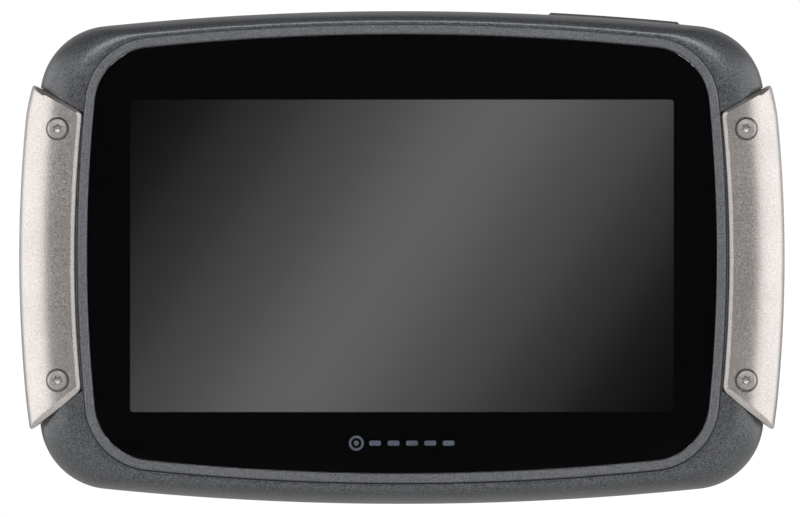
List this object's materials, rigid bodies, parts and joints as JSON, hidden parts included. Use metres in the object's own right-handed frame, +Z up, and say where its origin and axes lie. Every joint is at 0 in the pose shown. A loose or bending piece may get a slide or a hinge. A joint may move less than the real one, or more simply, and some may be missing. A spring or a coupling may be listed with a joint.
{
  "type": "portable gps navigator",
  "caption": "Ruggedised portable satellite navigator with a wide touch display, screwed side trims, top power button and rear dock plate.",
  "frame": {"origin": "centre of the dock face at the back of the unit", "axes": "+X to the right seen from the display side, +Y out of the back through the dock face, +Z up; the display faces -Y"},
  "size_m": [0.1384, 0.0303, 0.0894],
  "materials": {
    "housing_paint": "satin",
    "rim_paint": "satin",
    "cover_glass": "gloss",
    "black_print": "gloss",
    "clear_film": "gloss",
    "flex": "satin",
    "foam": "matte",
    "steel_sheet": "satin",
    "display": "gloss",
    "white_plastic": "matte",
    "light_alloy": "satin",
    "screw_steel": "satin",
    "board": "satin",
    "ivory_plastic": "matte",
    "ceramic": "matte",
    "battery_wrap": "satin",
    "lead_sleeve": "satin",
    "seal_rubber": "matte",
    "vent_membrane": "matte",
    "rating_film": "satin",
    "dock_plastic": "matte",
    "gold_plate": "polished",
    "trim_paint": "satin",
    "button_plastic": "satin",
    "cover_rubber": "matte"
  },
  "bodies": {
    "unit": {"front_housing": "housing_paint", "display_frame": "rim_paint", "cover_glass": "cover_glass", "border_mask": "black_print", "touch_sensor": "clear_film", "touch_flex": "flex", "display_foam": "foam", "lcd_tray": "steel_sheet", "lcd_cell": "display", "light_guide": "white_plastic", "lcd_flex": "flex", "chassis": "light_alloy", "chassis_screws": "screw_steel", "main_board": "board", "board_connectors": "ivory_plastic", "board_screws": "screw_steel", "processor_can": "steel_sheet", "radio_can": "steel_sheet", "gps_patch": "ceramic", "short_range_antenna": "white_plastic", "usb_receptacle": "steel_sheet", "card_socket": "steel_sheet", "port_well": "dock_plastic", "charge_led": "white_plastic", "light_pipe": "clear_film", "battery_cell": "battery_wrap", "battery_pad": "foam", "battery_leads": "lead_sleeve", "housing_gasket": "seal_rubber", "rear_housing": "housing_paint", "housing_screws": "screw_steel", "pressure_vent": "vent_membrane", "rating_plate": "rating_film", "dock_plate": "dock_plastic", "dock_seal": "seal_rubber", "dock_contacts": "gold_plate", "contact_block": "ivory_plastic", "dock_flex": "flex", "dock_screws": "screw_steel", "left_trim": "trim_paint", "right_trim": "trim_paint", "trim_screws": "screw_steel", "button_board": "board", "switch_body": "steel_sheet", "button_screws": "screw_steel", "button_flex": "flex"},
    "power_button": {"power_button": "button_plastic", "switch_plunger": "button_plastic"},
    "port_cover": {"port_cover": "cover_rubber"}
  },
  "joints": [
    {"name": "power_press", "type": "slide", "parent": "unit", "child": "power_button", "axis": [-0.0725, 0, -0.9974], "range_m": [0, 0.0004], "stiffness_N_per_m": 600, "springref_m": -0.0012},
    {"name": "port_cover_hinge", "type": "hinge", "parent": "unit", "child": "port_cover", "pos_m": [-0.03455, -0.0164, -0.04238], "axis": [0, 1, 0], "range_deg": [0, 100]}
  ]
}
